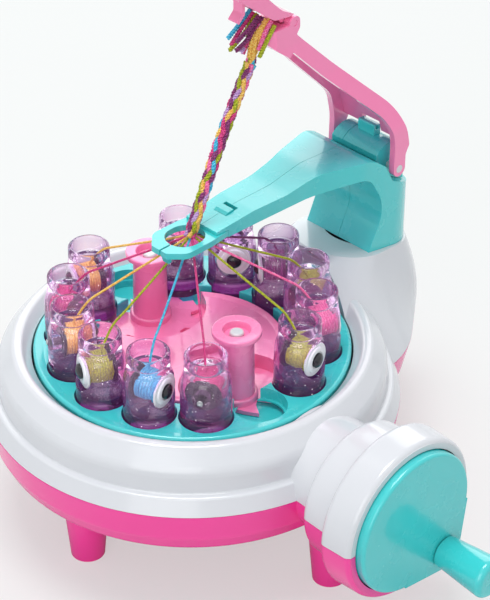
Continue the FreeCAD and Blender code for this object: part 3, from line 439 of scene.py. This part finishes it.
def yarn(name, colour=None, glint=None):
    """Glossy rayon thread in one colour, or with its colours left for the caller to feed."""
    material, tree, skin = new_material(name)
    fibre = node(tree, "ShaderNodeGroup", {"node_tree": yarn_group})
    if colour:
        feed(tree, fibre, Colour=paint(colour), Glint=paint(glint))
    bump = node(tree, "ShaderNodeBump", Height=fibre.outputs["Relief"], Distance=0.00012,
                Strength=0.7)
    feed(tree, skin, Base_Color=fibre.outputs["Colour"], Roughness=fibre.outputs["Roughness"],
         Normal=bump.outputs["Normal"], Sheen_Weight=0.25, Sheen_Roughness=0.4,
         Specular_IOR_Level=0.4)
    return material, fibre


yarns = {name: yarn(name + " thread", *colours)[0] for name, colours in yarn_colours.items()}
reel_white = moulded("reel white plastic", "EDEEF1", "E4E5EA", gloss=(0.22, 0.32), coat=0.2)
hub_black = moulded("black hub plastic", "1E1A24", "131018", gloss=(0.2, 0.35), coat=0.3)
# The back flange's outer face and the front one's, along the reel's axis from its pod's.
back, front = -0.0056, 0.0093
# Radii of the flanges, the barrel, the hollow in it, the axle and the hub.
rim, barrel, hollow, journal, hub_radius = 0.0087, 0.0059, 0.0052, 0.0016, 0.0037
# Thickness of the front flange, and the bevel on both rims.
flange, chamfer = 0.0012, 0.0003
face_profile = [
    (front - flange, 0), (front - flange, rim - chamfer), (front - flange + chamfer, rim, 1),
    (front - chamfer, rim, 1), (front, rim - chamfer), (front, 0.0067),
    (front + 0.0007, 0.0065), (front + 0.0010, 0.0060), (front + 0.0010, 0.0044),
    (front + 0.0005, 0.0041), (front + 0.0005, 0),
]
core_profile = [
    (back - 0.004, 0), (back - 0.004, journal), (front - 0.003, journal), (front - 0.003, hollow),
    (back, hollow), (back, rim - chamfer), (back + chamfer, rim), (back + 0.0009, rim - chamfer),
    (back + 0.0009, barrel), (front - 0.0008, barrel), (front - 0.0008, hub_radius),
    (front + 0.0016, hub_radius), (front + 0.0021, 0.0033), (front + 0.0026, 0.0024),
    (front + 0.0031, 0.0013), (front + 0.0032, 0.0006), (front + 0.0032, 0),
]
reel_teeth, tooth_depth = 48, 0.0004
# Radius of the wound thread, and its turns on a full reel and on the sky-blue one.
wound_thread, full_turns, sky_turns = 0.0007, 8.6, 7.6
wound = winding_tree()
draw = random.Random(7)
for number, (pocket, faces, colour) in pod_places.items():
    place = in_pod(number, spool_axis) @ Matrix.Rotation(draw.uniform(0, 2 * math.pi), 4, "X")
    reel = shown("reel_%02d" % number, lathe("reel", face_profile, 2 * reel_teeth, tooth_depth),
                 reel_white)
    hub = shown("reel_hub_%02d" % number, lathe("hub", core_profile, sides=48), hub_black)
    winding = made_by(
        shown("winding", bpy.data.meshes.new("winding")), wound, "winding_%02d" % number,
        From=back + flange + wound_thread, Width=front - back - 2 * (flange + wound_thread),
        Radius=barrel + 0.0006, Turns=sky_turns if colour == "sky" else full_turns,
        Thread_radius=wound_thread, Wander=0.0009, Seed=float(number), Yarn=yarns[colour])
    for part in (reel, hub, winding):
        part.data.transform(place)
        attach(part, "spool_%02d" % number)
    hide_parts("spool_%02d" % number)


# ------------------------------------------------------------------ pods
# Each pod is a clear lilac plastic bottle with silver glitter moulded in: a solid foot, a thin body
# with a round window, and a thick neck with a ledge. A screw in its back holds the reel's peg.

def glitter_flecks():
    """Mask of small flakes scattered through a clear plastic, where the pods paint a glowing glint.
    """
    group, given, end = shader_group(
        "Glitter flecks",
        (("Flake spacing", "Float", 620.0), ("Flake size", "Float", 0.17),
         ("Share", "Float", 0.09)),
        (("Mask", "Float"),))
    where = group.nodes.new("ShaderNodeTexCoord").outputs["Object"]
    cells = node(group, "ShaderNodeTexVoronoi", Vector=where, Scale=given["Flake spacing"])
    dot = calc(group, "LESS_THAN", cells.outputs["Distance"], given["Flake size"])
    lot = node(group, "ShaderNodeSeparateColor", Color=cells.outputs["Color"])
    chosen = calc(group, "LESS_THAN", lot.outputs[0], given["Share"])
    feed(group, end, Mask=calc(group, "MULTIPLY", dot, chosen))
    return group


# The tint is dark in the foot and turns clear above it. Over the foot the wall is nearly clear face
# on, and deeper at its edges.
dark_below, clear_above = 0.0925, 0.1
clear_lilac, tree, skin = new_material("clear lilac plastic")
where = tree.nodes.new("ShaderNodeTexCoord").outputs["Object"]
height = node(tree, "ShaderNodeSeparateXYZ", Vector=where).outputs["Z"]
depth = node(tree, "ShaderNodeMapRange", Value=height, From_Min=dark_below, From_Max=clear_above)
edge = node(tree, "ShaderNodeLayerWeight", Blend=0.45)
wall = node(tree, "ShaderNodeMix", {"data_type": "RGBA"}, Factor=edge.outputs["Facing"],
            A=paint("FCF4FA"), B=paint("BE6FB8"))
tint = node(tree, "ShaderNodeMix", {"data_type": "RGBA"}, Factor=depth.outputs["Result"],
            A=paint("3F1140"), B=wall.outputs["Result"])
flecks = node(tree, "ShaderNodeGroup", {"node_tree": glitter_flecks()})
# Painted glow: the whole clear plastic glows faint violet, a painted stand-in for its milky light,
# and each glitter flake glows white as a painted glint.
painted_glow = node(tree, "ShaderNodeMix", {"data_type": "RGBA"}, Factor=flecks.outputs["Mask"],
             A=(0.022, 0.006, 0.024, 1.0), B=(0.9, 0.9, 0.9, 1.0))
feed(tree, skin, Base_Color=tint.outputs["Result"], Emission_Color=painted_glow.outputs["Result"],
     Emission_Strength=1.0, Roughness=0.05, IOR=1.2, Transmission_Weight=0.98, Coat_Weight=0.55,
     Coat_IOR=1.55, Coat_Roughness=0.04)
clear = node(tree, "ShaderNodeBsdfTransparent", Color=paint("EFE0F4"))
shadow = tree.nodes.new("ShaderNodeLightPath").outputs["Is Shadow Ray"]
finish_surface(tree, "Material Output", shadow, skin, clear)

# Height over the pod's foot and radius, in millimetres: up the outside and down the inside.
pod_profile = [
    (0, 0), (0, 12.5), (0.15, 12.8), (0.5, 12.9), (4.6, 12.9), (5.2, 12.7), (5.8, 12.35),
    (12, 12.3), (18, 12.35), (23, 12.3), (26, 12.15), (28, 11.85), (29.5, 11.45), (30.7, 10.95),
    (31.5, 10.5), (31.9, 10.35), (32.3, 10.45), (32.7, 10.6), (33.3, 10.55), (33.7, 10.35),
    (40.6, 10.35), (41.5, 10.1), (42, 9.5), (41.9, 9.0), (41.4, 8.6), (40.4, 8.4), (35.2, 8.2),
    (34.3, 7.9), (33.9, 7.3), (33.7, 6.8), (33.3, 6.4), (32.8, 6.3), (32.4, 6.5), (32.2, 6.9),
    (31.7, 8.0), (30.6, 9.2), (29, 10.0), (27, 10.6), (24, 10.8), (10.8, 10.8), (10, 10.4),
    (9.7, 9.6), (9.7, 0),
]
# Distance along the reel's axis and radius, in millimetres.
peg_profile = [(-11.6, 0), (-11.6, 4.2), (-10.2, 4.0), (-6.2, 3.7), (-5.9, 3.4), (-5.9, 0)]
window_profile = [(2, 0), (2, 9.4), (18, 9.4), (18, 0)]
# Middle and size of the slot that is cut in the foot's back, in millimetres.
slot_place, slot_size = (-12.6, 0, 11.0), (4.0, 10.4, 2.2)
millimetre = 0.001
upright = Matrix.Rotation(-math.pi / 2, 4, "Y")
to_axis = Matrix.Translation((0, 0, spool_axis / millimetre))


def lathed(name, profile, sides, place):
    """Linked lathed piece, moved to its place in the pod."""
    mesh = lathe(name, profile, sides)
    mesh.transform(place)
    return shown(name, mesh)


def carved(piece, *steps):
    """Plain mesh of a piece after boolean steps (operation, other piece), which are removed."""
    for operation, other in steps:
        modifier = piece.modifiers.new(operation, "BOOLEAN")
        modifier.operation = operation
        modifier.object = other
        modifier.solver = "EXACT"
    bpy.context.view_layer.update()
    graph = bpy.context.evaluated_depsgraph_get()
    mesh = bpy.data.meshes.new_from_object(piece.evaluated_get(graph))
    for used in (piece, *[other for operation, other in steps]):
        bpy.data.objects.remove(used)
    return mesh


slot_shape = bmesh.new()
slot_cut = Matrix.Translation(slot_place) @ Matrix.Diagonal((*slot_size, 1))
bmesh.ops.create_cube(slot_shape, size=1.0, matrix=slot_cut)
slot_mesh = bpy.data.meshes.new("foot slot")
slot_shape.to_mesh(slot_mesh)
slot_shape.free()
pod_mesh = carved(
    lathed("pod", pod_profile, sides=72, place=upright),
    ("UNION", lathed("peg", peg_profile, sides=32, place=to_axis)),
    ("DIFFERENCE", lathed("window", window_profile, sides=64, place=to_axis)),
    ("DIFFERENCE", shown("foot slot", slot_mesh)))
pod_mesh.transform(Matrix.Scale(millimetre, 4))
for number in pod_places:
    shell = shown("pod_shell_%02d" % number, pod_mesh.copy(), clear_lilac, sharp=40.0)
    shell.data.transform(in_pod(number, 0.0))
    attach(shell, "carousel")
    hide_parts("pod_%02d" % number)


def fastener_tree():
    """A small screw at each point, turned by the points' facing angle about Z."""
    tree, given = geometry_tree(
        "Pod screws", ("Screw", "Object", None), ("Metal", "Material", None))
    head = node(tree, "GeometryNodeObjectInfo", Object=given["Screw"])
    facing = node(tree, "GeometryNodeInputNamedAttribute", {"data_type": "FLOAT"}, Name="facing")
    about = node(tree, "ShaderNodeCombineXYZ", Z=facing.outputs["Attribute"])
    turn = node(tree, "FunctionNodeEulerToRotation", Euler=about.outputs[0])
    placed = node(tree, "GeometryNodeInstanceOnPoints", Points=given["Geometry"],
                  Instance=head.outputs["Geometry"], Rotation=turn.outputs[0])
    return close_tree(tree, placed.outputs[0], given["Metal"])


pod_back = 0.0123
screw_profile = [
    (0.0002, 0), (0.0002, 0.0013), (-0.0004, 0.0015), (-0.0006, 0.0012), (-0.0006, 0.0007),
    (-0.0001, 0.0003), (-0.0001, 0),
]
screw = shown("pod screw", lathe("pod screw", screw_profile, sides=20))
spots = bpy.data.meshes.new("screw spots")
spots.from_pydata(
    [in_pod(number, spool_axis) @ Vector((-pod_back, 0, 0)) for number in pod_places], [], [])
facing = spots.attributes.new("facing", "FLOAT", "POINT")
for spot, (pocket, faces, colour) in zip(facing.data, pod_places.values()):
    spot.value = math.radians(faces)
pod_screws = made_by(shown("screw spots", spots), fastener_tree(), "pod_screws", Screw=screw,
                     Metal=plated)
bpy.data.objects.remove(screw)
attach(pod_screws, "carousel")


# ------------------------------------------------------------------ threads
# Twelve three-ply rayon threads run taut from the reels, up through the pods' necks, to the gather
# under the braid. They travel with the deck.

def twisted_tree():
    """Rope on each curve: plies laid round it, each swept with a small round section."""
    tree, given = geometry_tree(
        "Twisted thread",
        ("Plies", "Int", 3), ("Ply radius", "Float", 0.00034), ("Ply offset", "Float", 0.0003),
        ("Lay", "Float", 0.0032), ("Step", "Float", 0.0004), ("Sides", "Int", 6),
        ("Yarn", "Material", None))
    runs = node(tree, "GeometryNodeResampleCurve", {"mode": "LENGTH"},
                Curve=given["Geometry"], Length=given["Step"])
    plies = node(tree, "GeometryNodeDuplicateElements", {"domain": "SPLINE"},
                 Geometry=runs.outputs[0], Amount=given["Plies"])
    along = tree.nodes.new("GeometryNodeSplineParameter").outputs["Length"]
    start = calc(tree, "DIVIDE", plies.outputs["Duplicate Index"], given["Plies"])
    turns = calc(tree, "ADD", start, calc(tree, "DIVIDE", along, given["Lay"]))
    offset = swung(tree, turns, given["Ply offset"])
    laid = node(tree, "GeometryNodeSetPosition", Geometry=plies.outputs["Geometry"], Offset=offset)
    tube = sweep(tree, laid.outputs[0], given["Ply radius"], given["Sides"])
    return close_tree(tree, tube, given["Yarn"])


def swung(tree, turns, reach):
    """Vector of that reach from a curve, turned about its tangent by a number of turns."""
    swing = node(tree, "ShaderNodeVectorRotate", {"rotation_type": "AXIS_ANGLE"},
                 Vector=tree.nodes.new("GeometryNodeInputNormal").outputs[0],
                 Axis=tree.nodes.new("GeometryNodeInputTangent").outputs[0],
                 Angle=calc(tree, "MULTIPLY", turns, 2 * math.pi))
    scaled = node(tree, "ShaderNodeVectorMath", {"operation": "SCALE"}, Vector=swing.outputs[0],
                  Scale=reach)
    return scaled.outputs[0]


def cord_route(*runs):
    """Curve object of smooth splines whose control points are the runs' points."""
    line = bpy.data.curves.new("route", "CURVE")
    line.dimensions = "3D"
    line.resolution_u = 16
    for run in runs:
        spline = line.splines.new("NURBS")
        spline.points.add(len(run) - 1)
        for point, place in zip(spline.points, run):
            point.co = (*place, 1.0)
        spline.order_u = 3
        spline.use_endpoint_u = True
    return shown("route", line)


def followed(route):
    """The points along a route's spline, and its length."""
    bpy.context.view_layer.update()
    graph = bpy.context.evaluated_depsgraph_get()
    mesh = bpy.data.meshes.new_from_object(route.evaluated_get(graph))
    points = [vertex.co.copy() for vertex in mesh.vertices]
    return points, sum((b - a).length for a, b in zip(points, points[1:]))


twisted = twisted_tree()
# Reach from the deck's axis and height over the deck: reel, pod's mouth, rim, and gather.
thread_run = ((0.0600, 0.0243), (0.0584, 0.0281), (0.0522, 0.0367), (0.0450, 0.0402),
              (0.0040, 0.0602), (0.0014, 0.0624))
over_rim = 3
# How far a thread hangs below the others past its pod's rim.
slack = {11: 0.0016, 12: 0.0008, 10: 0.0008}
for number, (pocket, faces, colour) in pod_places.items():
    points = [from_deck(pocket, reach, height) for reach, height in thread_run]
    points[over_rim].z -= slack.get(number, 0.0)
    route = cord_route(points)
    path, length = followed(route)
    strand = made_by(route, twisted, "thread_line_%02d" % number, Plies=3, Ply_radius=0.00034,
                     Ply_offset=0.0003, Lay=0.0032, Step=0.0004, Sides=6, Yarn=yarns[colour])
    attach(strand, "carousel")
    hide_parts("thread_%02d" % number)


# ------------------------------------------------------------------ arm
# Two moulded turquoise halves meet on the parting line along the arm. The fork with the guide eye
# is held between them by its snap tab, and the barrel cover closes the hinge at the neck.

dress(turquoise, "arm_left_half", "arm_right_half", "guide_fork", "hinge_cover")


# ------------------------------------------------------------------ lever and braid clip
# The pink lever is a moulded channel that swings on two white pins at the neck. Its hooked clip, in
# the same pink plastic, turns at the lever's head and nips the braid's end.

hot_pink = moulded("hot pink plastic", "FC86B8", "FA7EB2", coat=0.8)
dress(hot_pink, "lever", "braid_clip")


# ------------------------------------------------------------------ braid and its loose ends
# The finished round braid: twelve rayon strands, six each way, that pass over and under each other.
# Its end is nipped by the clip, and the twelve loose ends hang out in front.

def braided_tree():
    """Round braid along a curve: half the strands run each way round it and cross in turn."""
    tree, given = geometry_tree(
        "Round braid",
        ("Strands each way", "Int", 6), ("Pitch", "Float", 0.062),
        ("Ring radius", "Float", 0.00165), ("Dip", "Float", 0.0005),
        ("Ply radius", "Float", 0.0006), ("Ply offset", "Float", 0.00065),
        ("Lay", "Float", 0.0045), ("Step", "Float", 0.0006), ("Yarn", "Material", None))
    run = node(tree, "GeometryNodeResampleCurve", {"mode": "LENGTH"}, Curve=given["Geometry"],
               Length=given["Step"])
    count = calc(tree, "MULTIPLY", given["Strands each way"], 2)
    copies = node(tree, "GeometryNodeDuplicateElements", {"domain": "SPLINE"},
                  Geometry=run.outputs[0], Amount=count)
    index = copies.outputs["Duplicate Index"]
    tagged = node(tree, "GeometryNodeStoreNamedAttribute",
                  {"data_type": "FLOAT", "domain": "POINT"}, Geometry=copies.outputs["Geometry"],
                  Name="strand", Value=index)
    along = calc(tree, "DIVIDE", tree.nodes.new("GeometryNodeSplineParameter").outputs["Length"],
                 given["Pitch"])
    way = calc(tree, "SUBTRACT", calc(tree, "MULTIPLY", calc(tree, "MODULO", index, 2.0), 2.0), 1.0)
    place = calc(tree, "DIVIDE", calc(tree, "FLOOR", calc(tree, "DIVIDE", index, 2.0)),
                 given["Strands each way"])
    turns = calc(tree, "ADD", place, calc(tree, "MULTIPLY", way, along))
    crossings = calc(tree, "MULTIPLY", along, count)
    wave = calc(tree, "COSINE", calc(tree, "MULTIPLY", crossings, math.pi))
    lift = calc(tree, "MULTIPLY", calc(tree, "MULTIPLY", wave, way), given["Dip"])
    offset = swung(tree, turns, calc(tree, "ADD", lift, given["Ring radius"]))
    laid = node(tree, "GeometryNodeSetPosition", Geometry=tagged.outputs[0], Offset=offset)
    strands = node(tree, "GeometryNodeGroup", {"node_tree": twisted}, Geometry=laid.outputs[0],
                   Plies=3, Ply_radius=given["Ply radius"], Ply_offset=given["Ply offset"],
                   Lay=given["Lay"], Step=given["Step"], Sides=6)
    return close_tree(tree, strands.outputs[0], given["Yarn"])


# Colours of the strands, by strand number.
strand_order = ("olive", "magenta", "amber", "plum", "rose", "olive", "sky", "plum", "magenta",
                "lilac", "plum", "amber")
braid_yarn, fibre = yarn("braid thread")
tree = braid_yarn.node_tree
strand = node(tree, "ShaderNodeAttribute", {"attribute_name": "strand"})
share = calc(tree, "DIVIDE", calc(tree, "ADD", strand.outputs["Fac"], 0.5), len(strand_order))
# Two ramps give each strand its body colour and the colour of its painted glints.
for shade, label in enumerate(("Colour", "Glint")):
    ramp = node(tree, "ShaderNodeValToRGB", Fac=share)
    ramp.color_ramp.interpolation = "CONSTANT"
    stops = ramp.color_ramp.elements
    while len(stops) < len(strand_order):
        stops.new(0.99)
    for i in range(len(strand_order)):
        stops[i].position = i / len(strand_order)
    for i, colour in enumerate(strand_order):
        stops[i].color = paint(yarn_colours[colour][shade])
    tree.links.new(ramp.outputs["Color"], fibre.inputs[label])


def beside(x, y, z):
    """Point in millimetres from the deck's axis and rim."""
    return deck_centre + Vector((x, y, z)) / 1000


# From the gather in the guide eye up to the clip.
braid_points = [beside(0, -1.2, 62.2), beside(0, 9.4, 85.4), beside(0, 22.0, 113.4),
                beside(0, 38.4, 140.2)]
route = cord_route(braid_points)
path, length = followed(route)
braid = made_by(route, braided_tree(), "braid_rope", Strands_each_way=6, Pitch=0.062,
                Ring_radius=0.00165, Dip=0.0005, Ply_radius=0.0006, Ply_offset=0.00065, Lay=0.0045,
                Step=0.0006, Yarn=braid_yarn)
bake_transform(braid)
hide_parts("braid")


def loose_tree():
    """Twisted strands on the splines given, numbered in their order."""
    tree, given = geometry_tree(
        "Loose strands",
        ("Strands", "Int", 12), ("Ply radius", "Float", 0.0006), ("Ply offset", "Float", 0.0006),
        ("Lay", "Float", 0.0045), ("Yarn", "Material", None))
    index = node(tree, "GeometryNodeFieldOnDomain", {"domain": "CURVE", "data_type": "FLOAT"},
                 Value=tree.nodes.new("GeometryNodeInputIndex").outputs[0])
    number = calc(tree, "MODULO", index.outputs[0], given["Strands"])
    tagged = node(tree, "GeometryNodeStoreNamedAttribute",
                  {"data_type": "FLOAT", "domain": "POINT"}, Geometry=given["Geometry"],
                  Name="strand", Value=number)
    strands = node(tree, "GeometryNodeGroup", {"node_tree": twisted}, Geometry=tagged.outputs[0],
                   Plies=3, Ply_radius=given["Ply radius"], Ply_offset=given["Ply offset"],
                   Lay=given["Lay"], Step=0.0005, Sides=6)
    return close_tree(tree, strands.outputs[0], given["Yarn"])


# Each loose end in the order of strand_order: over the nose from the clip, and down in front.
falls = (
    ((-2.2, 44.8, 162.9), (-2.2, 40.9, 160.1), (-2.4, 35.9, 154.6), (-1.8, 26.7, 150.7)),
    ((-3.4, 43.3, 164.0), (-3.4, 39.5, 161.0), (-3.2, 34.4, 157.4), (-2.6, 28.4, 152.4)),
    ((4.0, 46.8, 161.6), (3.6, 41.0, 159.7), (3.0, 38.1, 153.8), (2.6, 37.9, 144.8)),
    ((0.2, 43.7, 163.1), (0.6, 39.1, 160.5), (1.0, 34.5, 158.0), (1.2, 28.2, 155.7)),
    ((5.4, 46.6, 161.4), (6.0, 42.6, 158.7), (5.6, 41.0, 154.6), (4.8, 39.0, 149.0)),
    ((7.0, 47.0, 159.6), (7.6, 44.4, 157.0), (7.0, 41.4, 152.6), (6.0, 38.4, 145.8)),
    ((-4.5, 42.8, 165.0), (-4.5, 38.9, 162.3), (-4.2, 33.2, 158.8), (-3.6, 27.4, 156.0)),
    ((1.8, 45.4, 162.1), (0.8, 40.6, 156.7), (0.2, 36.0, 153.0), (0.2, 28.9, 150.4)),
    ((0.4, 44.4, 160.4), (0.2, 40.2, 157.0), (-0.6, 36.4, 151.4), (-0.8, 34.4, 146.6)),
    ((-1.0, 46.9, 159.4), (-1.0, 40.4, 155.3), (-1.0, 37.2, 150.0), (-0.6, 32.9, 148.1)),
    ((0.6, 45.3, 162.2), (0.2, 40.8, 158.6), (-0.2, 38.0, 155.0), (-0.8, 36.0, 151.9)),
    ((2.8, 45.7, 161.8), (2.0, 40.7, 157.1), (1.2, 37.6, 152.2), (1.0, 36.6, 144.7)),
)


def rise(i):
    """One strand between the braid's end and the clip, side by side with the others up the nose."""
    aside = i - (len(falls) - 1) / 2
    return ((1.9 * math.cos(i), 38.4 + 1.6 * math.sin(i), 139.8 + math.sin(i)),
            (0.55 * aside, 40.2, 148.0), (0.7 * aside, 40.6, 155.0), (0.75 * aside, 42.0, 160.2),
            (0.75 * aside, 47.0, 160.0))


loose_runs = [[beside(*point) for point in run] for run in (*falls, *map(rise, range(len(falls))))]
tassel = made_by(cord_route(*loose_runs), loose_tree(), "tassel_strands", Strands=len(falls),
                 Ply_radius=0.0006, Ply_offset=0.0006, Lay=0.0045, Yarn=braid_yarn)
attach(tassel, "lever")
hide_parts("tassel")
